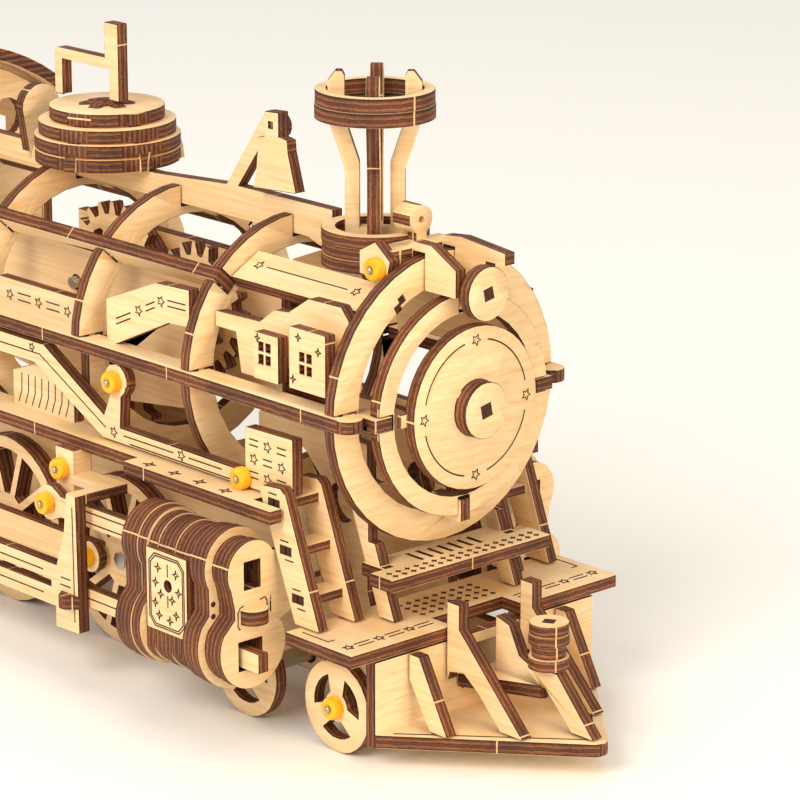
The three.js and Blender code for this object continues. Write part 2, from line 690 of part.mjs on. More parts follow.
driverX.forEach((x, i) => {
  const z = railZ + driverR;
  const wheels = bothSides((a, b) => spokedWheel(x, z, driverR, a, b, 10), driverY - 3, driverY);
  const pins = bothSides((a, b) => shaft(x - crankR, z, 1, a, b), driverY - 2, driverY + 3.6);
  const parts = [...wheels, ...pins, shaft(x, z, 1.4, -driverY - 0.4, driverY + 0.4)];
  if (i === 1) parts.push(gearWheel(0, true));
  add(['front', 'middle', 'rear'][i].concat('_driver'), join(parts));
});

// Coupling rods, hung on the middle crank pins
function couplingRod() {
  const z = railZ + driverR;
  const pins = driverX.map((x) => circle(x - crankR, z, 1.3, 10));
  return along(link(driverX[2] - crankR, z, driverX[0] - crankR, z, 2.6), -driverY - 2.6,
    -driverY - 0.8, pins);
}
addPair('coupling_rod', couplingRod());

// Stand the engine on its wheels, centred over the origin
const bounds = new THREE.Box3().setFromObject(engine);
const middle = bounds.getCenter(new THREE.Vector3());
engine.position.set(-middle.x, -middle.y, -bounds.min.z);
engine.updateMatrixWorld(true);

export default engine;
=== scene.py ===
import json
import math

import bmesh
import bpy
from mathutils import Euler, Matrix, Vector
from mathutils.geometry import tessellate_polygon


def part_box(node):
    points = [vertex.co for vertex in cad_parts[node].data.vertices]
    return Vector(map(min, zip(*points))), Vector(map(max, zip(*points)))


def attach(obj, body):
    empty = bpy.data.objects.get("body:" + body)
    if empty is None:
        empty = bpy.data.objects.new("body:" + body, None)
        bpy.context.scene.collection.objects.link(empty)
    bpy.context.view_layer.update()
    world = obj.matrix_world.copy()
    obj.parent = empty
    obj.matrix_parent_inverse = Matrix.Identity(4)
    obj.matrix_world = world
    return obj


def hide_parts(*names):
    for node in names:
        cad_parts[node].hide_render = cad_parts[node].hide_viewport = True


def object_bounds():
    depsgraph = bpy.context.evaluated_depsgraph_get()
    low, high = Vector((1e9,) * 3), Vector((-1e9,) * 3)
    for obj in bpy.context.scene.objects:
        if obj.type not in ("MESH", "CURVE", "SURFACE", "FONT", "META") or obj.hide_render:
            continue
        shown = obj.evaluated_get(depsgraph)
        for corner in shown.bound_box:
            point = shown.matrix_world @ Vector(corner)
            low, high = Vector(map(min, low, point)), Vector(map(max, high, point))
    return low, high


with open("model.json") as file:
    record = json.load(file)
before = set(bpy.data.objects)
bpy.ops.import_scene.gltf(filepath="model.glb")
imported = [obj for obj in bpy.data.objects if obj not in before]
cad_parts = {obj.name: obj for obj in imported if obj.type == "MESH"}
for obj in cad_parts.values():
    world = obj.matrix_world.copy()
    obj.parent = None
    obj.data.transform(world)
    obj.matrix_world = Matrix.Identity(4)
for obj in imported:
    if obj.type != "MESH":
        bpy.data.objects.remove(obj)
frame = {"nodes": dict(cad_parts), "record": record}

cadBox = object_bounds()
mm = 0.001
plyThickness = 2 * mm

# the drawing frame: x = 0 at the front of the smokebox door, z = 0 on the boiler axis
pilotReach = 27.3 * mm   # from the door to the tip of the pilot
pilotDepth = 46.9 * mm   # from the boiler axis down to the underside of the pilot floor
pilotLow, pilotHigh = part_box("pilot_floor")
drawingOrigin = Vector((pilotHigh.x - pilotReach, 0, pilotLow.z + pilotDepth))


def at(x, y, z):
    return drawingOrigin + Vector((x, y, z)) * mm


cameraSettings = {
    "position": (383.13, -364.50, 153.90),  # mm, in the drawing frame
    "azimuth": 47.635,
    "elevation": 16.114,
    "lens": 168.67,
}


def makeCamera():
    azimuth = math.radians(cameraSettings["azimuth"])
    elevation = math.radians(cameraSettings["elevation"])
    back = Vector((
        math.sin(azimuth) * math.cos(elevation),
        -math.cos(azimuth) * math.cos(elevation),
        math.sin(elevation)))
    data = bpy.data.cameras.new("mainCamera")
    data.lens = cameraSettings["lens"]
    data.sensor_width = 36
    data.clip_start = 0.01
    data.clip_end = 20
    camera = bpy.data.objects.new("mainCamera", data)
    camera.rotation_mode = "QUATERNION"
    camera.location = at(*cameraSettings["position"])
    camera.rotation_quaternion = (-back).to_track_quat("-Z", "Y")
    bpy.context.collection.objects.link(camera)
    bpy.context.scene.camera = camera


lightSettings = {
    "key": {"place": (0.25, -0.9, 0.75), "size": 0.7, "power": 9.5, "tint": "#FFF8EC"},
    "fill": {"place": (1.1, -0.1, 0.45), "size": 0.8, "power": 5.2, "tint": "#FFE6BE"},
    "top": {"place": (-0.2, 0.2, 1.1), "size": 0.9, "power": 2.6, "tint": "#FFFFFF"},
}
worldSettings = {"colour": "#FFFCF6", "strength": 0.58}
floorSettings = {"size": 8.0, "colour": "#FBFAF7"}


def linear(hexColour, alpha=1.0):
    channels = [int(hexColour[i:i + 2], 16) / 255 for i in (1, 3, 5)]
    toLinear = [c / 12.92 if c <= 0.04045 else ((c + 0.055) / 1.055) ** 2.4 for c in channels]
    return (*toLinear, alpha)


def makeLights():
    middle = (cadBox[0] + cadBox[1]) / 2
    for name, one in lightSettings.items():
        data = bpy.data.lights.new(name + "Light", "AREA")
        data.shape = "DISK"
        data.size = one["size"]
        data.energy = one["power"]
        data.color = linear(one["tint"])[:3]
        lamp = bpy.data.objects.new(name + "Light", data)
        lamp.location = one["place"]
        lamp.rotation_mode = "QUATERNION"
        lamp.rotation_quaternion = (middle - lamp.location).to_track_quat("-Z", "Y")
        bpy.context.collection.objects.link(lamp)
    world = bpy.data.worlds.new("studio")
    world.use_nodes = True
    background = world.node_tree.nodes["Background"]
    background.inputs["Color"].default_value = linear(worldSettings["colour"])
    background.inputs["Strength"].default_value = worldSettings["strength"]
    bpy.context.scene.world = world
    bpy.context.scene.view_settings.view_transform = "Standard"


def addNode(tree, kind, links=None, **settings):
    node = tree.nodes.new(kind)
    for key, value in settings.items():
        setattr(node, key, value)
    for socket, value in (links or {}).items():
        target = node.inputs[socket]
        if isinstance(value, bpy.types.NodeSocket):
            tree.links.new(value, target)
        else:
            target.default_value = value
    return node


def newMaterial(name):
    material = bpy.data.materials.new(name)
    material.use_nodes = True
    tree = material.node_tree
    return material, tree, tree.nodes["Principled BSDF"]


def setRamp(ramp, stops):
    elements = ramp.color_ramp.elements
    while len(elements) > 1:
        elements.remove(elements[-1])
    elements[0].position = stops[0][0]
    elements[0].color = linear(stops[0][1])
    for position, colour in stops[1:]:
        elements.new(position).color = linear(colour)


birchSettings = {
    "pale": "#F5D6A8", "grain": "#EFCA96", "vein": "#E3B87F",
    "grainLength": 16.0,   # mm between changes along the grain
    "grainWidth": 0.7,     # mm between streaks across it
    "roughness": 0.62,
}


# rotary-cut birch veneer: pale cream with long faint streaks and a low satin gloss
def makeBirchFace():
    material, tree, shader = newMaterial("birchVeneerFace")
    coords = addNode(tree, "ShaderNodeTexCoord").outputs["Object"]
    length = 1 / (birchSettings["grainLength"] * mm)
    width = 1 / (birchSettings["grainWidth"] * mm)
    stretched = addNode(tree, "ShaderNodeMapping", {
        "Vector": coords, "Scale": (length, length * 3, width)}).outputs["Vector"]
    streaks = addNode(tree, "ShaderNodeTexNoise", {
        "Vector": stretched, "Scale": 1.0, "Detail": 4.0, "Roughness": 0.6})
    broad = addNode(tree, "ShaderNodeTexNoise", {
        "Vector": coords, "Scale": 60.0, "Detail": 2.0})
    ramp = addNode(tree, "ShaderNodeValToRGB", {"Fac": streaks.outputs["Fac"]})
    setRamp(ramp, [(0.25, birchSettings["vein"]), (0.42, birchSettings["grain"]),
                   (0.62, birchSettings["pale"])])
    tone = addNode(tree, "ShaderNodeMapRange", {
        "Value": broad.outputs["Fac"], "From Min": 0.3, "From Max": 0.7,
        "To Min": 0.97, "To Max": 1.03})
    coloured = addNode(tree, "ShaderNodeVectorMath", {
        0: ramp.outputs["Color"], "Scale": tone.outputs["Result"]}, operation="SCALE")
    bump = addNode(tree, "ShaderNodeBump", {
        "Height": streaks.outputs["Fac"], "Strength": 0.12, "Distance": 0.05 * mm})
    tree.links.new(coloured.outputs["Vector"], shader.inputs["Base Color"])
    tree.links.new(bump.outputs["Normal"], shader.inputs["Normal"])
    shader.inputs["Roughness"].default_value = birchSettings["roughness"]
    return material


edgeSettings = {
    "bands": [(0.0, "#27110A"), (0.09, "#4E2515"), (0.2, "#80492A"), (0.32, "#8E5530"),
              (0.39, "#43200F"), (0.5, "#653719"), (0.6, "#3D1B10"), (0.69, "#8C532C"),
              (0.81, "#74401F"), (0.92, "#45200F"), (1.0, "#27110A")],
    "striae": 0.35,      # mm between the beam's marks
    "tabEvery": 31.0,    # mm between the pale nubs left by the sheet
    "roughness": 0.7,
}


# laser-cut ply edge: charred brown bands where the veneers change, with fine beam striae
def makeLaserEdge():
    material, tree, shader = newMaterial("laserCutPlyEdge")
    coords = addNode(tree, "ShaderNodeTexCoord").outputs["Object"]
    plyMap = addNode(tree, "ShaderNodeUVMap", uv_map="plyLayers").outputs["UV"]
    split = addNode(tree, "ShaderNodeSeparateXYZ", {"Vector": plyMap})
    layer = addNode(tree, "ShaderNodeMath", {0: split.outputs["Y"]}, operation="FRACT").outputs[0]
    wobble = addNode(tree, "ShaderNodeTexNoise", {"Vector": coords, "Scale": 500.0, "Detail": 3.0})
    shifted = addNode(tree, "ShaderNodeMapRange", {
        "Value": wobble.outputs["Fac"], "From Min": 0.3, "From Max": 0.7,
        "To Min": -0.05, "To Max": 0.05}).outputs["Result"]
    moved = addNode(tree, "ShaderNodeMath", {0: layer, 1: shifted}, operation="ADD").outputs[0]
    ramp = addNode(tree, "ShaderNodeValToRGB", {"Fac": moved})
    setRamp(ramp, edgeSettings["bands"])
    striaeScale = 1 / (edgeSettings["striae"] * mm)
    striae = addNode(tree, "ShaderNodeTexNoise", {
        "Vector": coords, "Scale": striaeScale, "Detail": 2.0})
    patches = addNode(tree, "ShaderNodeTexNoise", {
        "Vector": coords, "Scale": 110.0, "Detail": 2.0})
    streak = addNode(tree, "ShaderNodeMapRange", {
        "Value": striae.outputs["Fac"], "From Min": 0.3, "From Max": 0.7,
        "To Min": 0.7, "To Max": 1.25}).outputs["Result"]
    patch = addNode(tree, "ShaderNodeMapRange", {
        "Value": patches.outputs["Fac"], "From Min": 0.35, "From Max": 0.65,
        "To Min": 0.7, "To Max": 1.3}).outputs["Result"]
    both = addNode(tree, "ShaderNodeMath", {0: streak, 1: patch}, operation="MULTIPLY").outputs[0]
    burnt = addNode(tree, "ShaderNodeVectorMath", {
        0: ramp.outputs["Color"], "Scale": both}, operation="SCALE").outputs["Vector"]
    wrapped = addNode(tree, "ShaderNodeMath", {
        0: split.outputs["X"], 1: edgeSettings["tabEvery"] * mm}, operation="FLOORED_MODULO").outputs[0]
    nub = addNode(tree, "ShaderNodeMath", {0: wrapped, 1: 0.22 * mm}, operation="LESS_THAN").outputs[0]
    mixed = addNode(tree, "ShaderNodeMix", {
        "Factor": nub, 6: burnt, 7: linear("#E6BE8C")}, data_type="RGBA")
    tree.links.new(mixed.outputs[2], shader.inputs["Base Color"])
    bump = addNode(tree, "ShaderNodeBump", {
        "Height": striae.outputs["Fac"], "Strength": 0.4, "Distance": 0.08 * mm})
    tree.links.new(bump.outputs["Normal"], shader.inputs["Normal"])
    shader.inputs["Roughness"].default_value = edgeSettings["roughness"]
    return material


# a fine line burnt by the laser into the veneer: dark brown, dry and matt; the same dark colour also
# paints the shade inside holes and slots
def makeEngravingAndPaintedShade():
    material, tree, shader = newMaterial("laserEngravingAndPaintedShade")
    coords = addNode(tree, "ShaderNodeTexCoord").outputs["Object"]
    speckle = addNode(tree, "ShaderNodeTexNoise", {"Vector": coords, "Scale": 1500.0, "Detail": 2.0})
    ramp = addNode(tree, "ShaderNodeValToRGB", {"Fac": speckle.outputs["Fac"]})
    setRamp(ramp, [(0.3, "#2A1409"), (0.7, "#4E2B16")])
    tree.links.new(ramp.outputs["Color"], shader.inputs["Base Color"])
    shader.inputs["Roughness"].default_value = 0.8
    return material


# moulded silicone rubber: warm yellow with a soft sheen, a little light passes into it
def makeSilicone():
    material, tree, shader = newMaterial("yellowSiliconeRubber")
    coords = addNode(tree, "ShaderNodeTexCoord").outputs["Object"]
    mottle = addNode(tree, "ShaderNodeTexNoise", {"Vector": coords, "Scale": 700.0, "Detail": 2.0})
    ramp = addNode(tree, "ShaderNodeValToRGB", {"Fac": mottle.outputs["Fac"]})
    setRamp(ramp, [(0.3, "#F5A908"), (0.7, "#FFC21E")])
    tree.links.new(ramp.outputs["Color"], shader.inputs["Base Color"])
    shader.inputs["Roughness"].default_value = 0.42
    shader.inputs["Subsurface Weight"].default_value = 0.2
    shader.inputs["Subsurface Scale"].default_value = 0.6 * mm
    return material


# drawn steel rod: grey, with fine turning marks on its cut ends
def makeSteel():
    material, tree, shader = newMaterial("drawnSteelRod")
    coords = addNode(tree, "ShaderNodeTexCoord").outputs["Object"]
    marks = addNode(tree, "ShaderNodeTexNoise", {"Vector": coords, "Scale": 2500.0, "Detail": 2.0})
    rough = addNode(tree, "ShaderNodeMapRange", {
        "Value": marks.outputs["Fac"], "To Min": 0.25, "To Max": 0.5}).outputs["Result"]
    shader.inputs["Base Color"].default_value = linear("#B9B7B0")
    shader.inputs["Metallic"].default_value = 1.0
    tree.links.new(rough, shader.inputs["Roughness"])
    return material


birchFace = makeBirchFace()
laserEdge = makeLaserEdge()
engravingAndPaintedShade = makeEngravingAndPaintedShade()
silicone = makeSilicone()
steelRod = makeSteel()
print("materials made")


nodeBody = {}
for bodyName, nodeNames in frame["record"]["behaviour"]["bodies"].items():
    for nodeName in nodeNames:
        nodeBody[nodeName] = bodyName

axisX = Vector((1, 0, 0))
axisY = Vector((0, 1, 0))
axisZ = Vector((0, 0, 1))
alongEdge = Vector((1, 0.62, 0.77))   # any slanted direction: sets where the sheet's nubs fall

plySettings = {
    "arris": 0.1,          # mm, the softened corner of every cut edge
    "stringerTilt": 137,   # degrees about the length of the engine
    "roofTilt": 30,
    "finTurn": 45,
    "ribTurns": (8, 68, 128),
}
stringerTilt = math.radians(plySettings["stringerTilt"])
roofTilt = math.radians(plySettings["roofTilt"])
finTurn = math.radians(plySettings["finTurn"])
ribTurns = [math.radians(turn) for turn in plySettings["ribTurns"]]
roofNormal = Vector((0, -math.sin(roofTilt), math.cos(roofTilt)))

# the directions that a tilted piece's sheets face; every other piece is square to the engine
sheetAxes = {
    "upper_stringer_right": [Vector((0, math.sin(stringerTilt), -math.cos(stringerTilt)))],
    "upper_stringer_left": [Vector((0, math.sin(stringerTilt), math.cos(stringerTilt)))],
    "roof_strip_right": [roofNormal],
    "roof_strip_left": [Vector((0, math.sin(roofTilt), math.cos(roofTilt)))],
    "dome": [axisZ, *(Vector((math.sin(turn), math.cos(turn), 0)) for turn in ribTurns)],
    "chimney_fins": [Vector((math.sin(finTurn), math.cos(finTurn), 0)),
                     Vector((math.sin(finTurn), -math.cos(finTurn), 0))],
}
stackAxis = {"cab_roof": axisZ, "smokebox_door": axisX, "headlamp": axisX}
for name in nodeBody:
    if name.endswith(("wheelset", "driver", "gear")):
        stackAxis[name] = axisY


def spread(points, axis):
    values = [p.dot(axis) for p in points]
    return min(values), max(values)


def layOut(face, axis, low, along, uvLayer):
    for loop in face.loops:
        depth = (loop.vert.co.dot(axis) - low) / plyThickness
        loop[uvLayer].uv = (loop.vert.co.dot(along), depth)


# a flat region no wider than one sheet is a cut edge, and any other is veneer
def sortRegion(region, name, shafts, uvLayer):
    points = [vert.co for face in region for vert in face.verts]
    normal = region[0].normal
    kind = 1
    if any(nearShaft(points, shaft) for shaft in shafts):
        kind = 2
        axis = axisY
    elif name in stackAxis:
        axis = stackAxis[name]
        kind = 0 if abs(normal.dot(axis)) > 0.7 else 1
    else:
        choices = sheetAxes.get(name, [axisX, axisY, axisZ])
        level = [one for one in choices if abs(normal.dot(one)) < 0.3] or choices
        widths = [(spread(points, one)[1] - spread(points, one)[0], i) for i, one in enumerate(level)]
        width, best = min(widths)
        axis = level[best]
        kind = 0 if width > 2.15 * mm or abs(normal.dot(axis)) > 0.9 else 1
    low = spread(points, axis)[0]
    tangent = axis.cross(normal)
    first, last = spread(points, tangent)
    if last - first < 6 * mm:
        tangent = alongEdge - axis * alongEdge.dot(axis)
    for face in region:
        face.material_index = kind
        layOut(face, axis, low, tangent, uvLayer)


def nearShaft(points, shaft):
    x, z, radius = shaft
    return all(math.hypot(p.x - x, p.z - z) < radius for p in points)


def sortFaces(mesh, name, shafts):
    bm = bmesh.new()
    bm.from_mesh(mesh)
    bmesh.ops.remove_doubles(bm, verts=bm.verts, dist=1e-6)
    bm.normal_update()
    uvLayer = bm.loops.layers.uv.new("plyLayers")
    done = set()
    for start in bm.faces:
        if start in done:
            continue
        region = [start]
        done.add(start)
        for face in region:
            for edge in face.edges:
                for other in edge.link_faces:
                    if other not in done and other.normal.dot(start.normal) > 0.9995:
                        done.add(other)
                        region.append(other)
        sortRegion(region, name, shafts, uvLayer)
    bm.to_mesh(mesh)
    bm.free()


def finishPly(piece):
    mesh = piece.data
    for material in (birchFace, laserEdge, steelRod):
        mesh.materials.append(material)
    mesh.shade_smooth()
    mesh.set_sharp_from_angle(angle=math.radians(30))
    arris = piece.modifiers.new("arris", "BEVEL")
    arris.width = plySettings["arris"] * mm
    arris.segments = 1
    arris.limit_method = "ANGLE"
    arris.angle_limit = math.radians(40)
    arris.harden_normals = True


def place(mesh, name, body, replaced=()):
    piece = bpy.data.objects.new(name, mesh)
    bpy.context.collection.objects.link(piece)
    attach(piece, body)
    if replaced:
        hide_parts(*replaced)
    return piece


shaftReach = 1.5 * mm    # a face this near a shaft's axis is steel, not plywood
crankThrow = 5 * mm      # from a driving axle to its crank pin


def dressNode(name):
    mesh = frame["nodes"][name].data.copy()
    mesh.name = name + "Ply"
    mesh.materials.clear()
    low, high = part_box(name)
    middle = (low + high) / 2
    shafts = []
    if name.endswith(("wheelset", "driver", "gear")):
        shafts.append((middle.x, middle.z, shaftReach))
    if name.endswith("driver"):
        shafts.append((middle.x - crankThrow, middle.z, shaftReach))
    sortFaces(mesh, name, shafts)
    finishPly(place(mesh, name + "Ply", nodeBody[name], [name]))


# outlines in mm, as lists of (u, v) points
def arc(u, v, radius, start, end, steps):
    angles = [math.radians(start + (end - start) * i / steps) for i in range(steps + 1)]
    return [(u + radius * math.cos(a), v + radius * math.sin(a)) for a in angles]


def circle(u, v, radius, steps=48):
    return arc(u, v, radius, 0, 360 - 360 / steps, steps - 1)


def rect(u0, u1, v0, v1):
    return [(u0, v0), (u1, v0), (u1, v1), (u0, v1)]


# the cylinders and their rods are drawn about their own lines, then moved in by this much
outboard = (-3.7, 3.4, -1.2)


def movedIn(x, y, z):
    return (x + outboard[0], y + outboard[1], z + outboard[2])


# where an outline's (u, v) and its depth go, for sheets that face X, Y or Z
facing = {
    "x": lambda u, v, d: at(d, u, v),
    "y": lambda u, v, d: at(u, d, v),
    "z": lambda u, v, d: at(u, v, d),
}
facingAxis = {"x": axisX, "y": axisY, "z": axisZ}


def addSheet(bm, uvLayer, way, loops, low, high):
    flat = [Vector((u, v, 0)) for loop in loops for u, v in loop]
    triangles = tessellate_polygon([[Vector((u, v, 0)) for u, v in loop] for loop in loops])
    rims = [[bm.verts.new(facing[way](p.x, p.y, depth)) for p in flat] for depth in (low, high)]
    made = []
    for rim in rims:
        for corners in triangles:
            made.append(bm.faces.new([rim[i] for i in corners]))
    first = 0
    for loop in loops:
        count = len(loop)
        for i in range(count):
            j = first + (i + 1) % count
            side = bm.faces.new([rims[0][first + i], rims[0][j], rims[1][j], rims[1][first + i]])
            side.material_index = 1
            made.append(side)
        first += count
    bmesh.ops.recalc_face_normals(bm, faces=made)
    axis = facingAxis[way]
    base = rims[0][0].co.dot(axis)
    tangent = alongEdge - axis * alongEdge.dot(axis)
    for face in made:
        layOut(face, axis, base, tangent, uvLayer)


def sheetMesh(name, sheets, moved=(0, 0, 0)):
    bm = bmesh.new()
    uvLayer = bm.loops.layers.uv.new("plyLayers")
    for way, loops, low, high in sheets:
        addSheet(bm, uvLayer, way, loops, low, high)
    bmesh.ops.translate(bm, verts=bm.verts, vec=Vector(moved) * mm)
    mesh = bpy.data.meshes.new(name)
    bm.to_mesh(mesh)
    bm.free()
    return mesh


def mirroredMesh(mesh, name):
    copy = mesh.copy()
    copy.name = name
    bm = bmesh.new()
    bm.from_mesh(copy)
    for vert in bm.verts:
        vert.co.y = 2 * drawingOrigin.y - vert.co.y
    bmesh.ops.reverse_faces(bm, faces=bm.faces)
    bm.to_mesh(copy)
    bm.free()
    return copy


# the cylinders: twelve figure-of-eight sheets threaded on two square rods
cylinderSettings = {
    "front": -13.5, "middle": -32.2, "upper": -21.8, "lower": -33.8,
    "groups": [(2, 4.7, 6.3, 3.4), (2, 5.8, 7.3, 5.0), (5, 5.1, 6.6, 4.6), (3, 5.8, 7.3, 5.0)],
    "ridge": 0.22,      # mm that every other sheet stands back
    "air": 0.07,        # mm between sheets
}


def eightOutline(upperR, lowerR, waist, widest):
    y = cylinderSettings["middle"]
    upper = cylinderSettings["upper"]
    lower = cylinderSettings["lower"]
    outline = [
        *arc(y, upper, upperR, -30, 210, 28), (y - waist, -27.2), (y - waist, -28.8),
        *arc(y, lower, lowerR, 152, 388, 30), (y + waist, -28.8), (y + waist, -27.2)]
    return [(max(u, widest), v) for u, v in outline]


def cylinderSheets():
    x = cylinderSettings["front"]
    tunnels = [rect(-33.8, -30.6, -24.6, -20.2), rect(-35, -30.4, -37, -32.4)]
    sheets = []
    count = 0
    for number, upperR, lowerR, waist in cylinderSettings["groups"]:
        for _ in range(number):
            back = 0.05 + cylinderSettings["ridge"] * (count % 2)
            widest = -37.9 if number == 5 else -60
            outline = eightOutline(upperR - back, lowerR - back, waist - back, widest)
            top = x - 2 * count
            sheets.append(("x", [outline, *tunnels], top - 2 + cylinderSettings["air"], top))
            count += 1
    arm = [(-28.6, -31.2), (-24.9, -29.6), (-24.9, -27.6), (-12.7, -27.6), (-12.7, -25.6),
           (-24.9, -25.6), (-24.9, -20.4), (-28.6, -19.3)]
    sheets.append(("x", [arm], x - 1.98, x - 0.02))
    plate = rect(x - 17.6, x - 8.2, -33.6, -21)
    sheets.append(("y", [plate, circle(x - 12.6, -26.1, 0.95, 20)], -38, -36.4))
    tongue = [(x - 1, -34.4), *arc(x + 0.1, -32.2, 2.3, -86, 86, 14), (x - 1, -30)]
    sheets.append(("z", [tongue], -29.7, -27.5))
    return sheets


stackSettings = {
    "chimneyX": -22, "baseR": 8.15, "baseBore": 6.0, "crownR": 9.05, "crownBore": 7.3,
    "bufferX": 15.8, "bufferR": 3.05,
}


def buildStacks():
    right = sheetMesh("cylinderRightSheets", cylinderSheets(), outboard)
    left = mirroredMesh(right, "cylinderLeftSheets")
    finishPly(place(right, "cylinderRightSheets", "chassis", ["cylinder_right"]))
    finishPly(place(left, "cylinderLeftSheets", "chassis", ["cylinder_left"]))
    x = stackSettings["chimneyX"]
    base = []
    for i, back in enumerate((0, 0.12, 0.0)):
        loops = [circle(x, 0, stackSettings["baseR"] - back), circle(x, 0, stackSettings["baseBore"], 36)]
        base.append(("z", loops, 18 + 1.9 * i, 18 + 1.9 * i + 1.84))
    finishPly(place(sheetMesh("chimneyBaseRings", base), "chimneyBaseRings", "chassis", ["chimney_base"]))
    crown = []
    for i, back in enumerate((0.0, 0.1)):
        loops = [circle(x, 0, stackSettings["crownR"] - back, 64),
                 circle(x, 0, stackSettings["crownBore"], 48)]
        crown.append(("z", loops, 40.2 + 2.2 * i, 40.2 + 2.2 * i + 2.13))
    finishPly(place(sheetMesh("chimneyCrownRings", crown), "chimneyCrownRings", "chassis",
                    ["chimney_crown"]))
    buffer = []
    for z0, z1, back in ((-36.1, -34.4, 0), (-34.3, -32.4, 0.5), (-32.3, -30.8, 0), (-30.7, -29.1, 0.1)):
        buffer.append(("z", [circle(stackSettings["bufferX"], 0, stackSettings["bufferR"] - back, 36)],
                       z0, z1))
    finishPly(place(sheetMesh("bufferDiscs", buffer), "bufferDiscs", "chassis", ["buffer"]))


# yellow caps that hold the rods on, with the end of a steel pin in each
capSettings = {
    "radius": 1.75, "height": 1.7, "pin": 0.5, "pinStands": 0.35,
    "onChassis": [(-26.2, -22.5, -12.0), (-57.0, -22.5, -3.6), movedIn(-61.7, -33.0, -22.4),
                  movedIn(-62.2, -29.6, -17.6)],
    "onBracket": (-10.9, -9.4, 20.6),
    "leadX": (-6.9, -27.6), "leadZ": -43.3,
    "crankX": (-70.5, -100.5, -130.5), "crankZ": -36.4, "crankY": -18.1,
}


def turned(bm, centre, side, profile, kind, steps=24):
    rings = []
    for out, radius in profile:
        ring = []
        for i in range(steps):
            a = 2 * math.pi * i / steps
            ring.append(bm.verts.new(at(
                centre[0] + radius * math.cos(a), side * (centre[1] - out),
                centre[2] + radius * math.sin(a))))
        rings.append(ring)
    faces = [bm.faces.new(rings[0]), bm.faces.new(rings[-1])]
    for low, high in zip(rings, rings[1:]):
        for i in range(steps):
            j = (i + 1) % steps
            faces.append(bm.faces.new([low[i], low[j], high[j], high[i]]))
    for face in faces:
        face.material_index = kind
    bmesh.ops.recalc_face_normals(bm, faces=faces)


def capMesh(name, places):
    bm = bmesh.new()
    r = capSettings["radius"]
    h = capSettings["height"]
    pin = capSettings["pin"]
    tip = h + capSettings["pinStands"]
    cap = [(0.02, r - 0.15), (0.2, r), (h - 0.45, r), (h - 0.12, r - 0.18), (h, r - 0.5),
           (h, pin + 0.35), (h - 0.2, pin + 0.1)]
    for centre, side in places:
        turned(bm, centre, side, cap, 0)
        turned(bm, centre, side, [(0.1, pin), (tip - 0.1, pin), (tip, pin - 0.12)], 1, 16)
    mesh = bpy.data.meshes.new(name)
    bm.to_mesh(mesh)
    bm.free()
    mesh.materials.append(silicone)
    mesh.materials.append(steelRod)
    mesh.shade_smooth()
    mesh.set_sharp_from_angle(angle=math.radians(35))
    return mesh


def buildCaps():
    both = [(p, side) for p in capSettings["onChassis"] for side in (1, -1)]
    place(capMesh("sideCaps", [*both, (capSettings["onBracket"], 1)]), "sideCaps", "chassis")
    for body, x in zip(("lead_axle", "trailing_axle"), capSettings["leadX"]):
        spots = [((x, -21.5, capSettings["leadZ"]), side) for side in (1, -1)]
        place(capMesh(body + "Caps", spots), body + "Caps", body)
    for body, side in (("right_coupling_rod", 1), ("left_coupling_rod", -1)):
        spots = [((x, capSettings["crankY"], capSettings["crankZ"]), side)
                 for x in capSettings["crankX"]]
        place(capMesh(body + "Caps", spots), body + "Caps", body)


# laser marks: lines, stars, sparkles and square tenon ends, half sunk in the veneer; the dots are flat
# discs of painted shade standing in for holes, and the squares on the ladder's side are partly painted
# shade in their slots
markSettings = {
    "width": 0.24,      # mm, one burnt line
    "star": 0.9, "sparkle": 0.7, "plus": 0.5,
}
markTurns = {"x": (0, math.pi / 2, 0), "-y": (math.pi / 2, 0, 0), "+y": (-math.pi / 2, 0, 0),
             "z": (0, 0, 0), "roof": (roofTilt, 0, 0), "roofLeft": (-roofTilt, 0, 0)}
# the dot kind is only used for flat dark discs of painted shade where holes are
markKinds = {"line": 0, "star": 1, "sparkle": 2, "dot": 3, "square": 4}


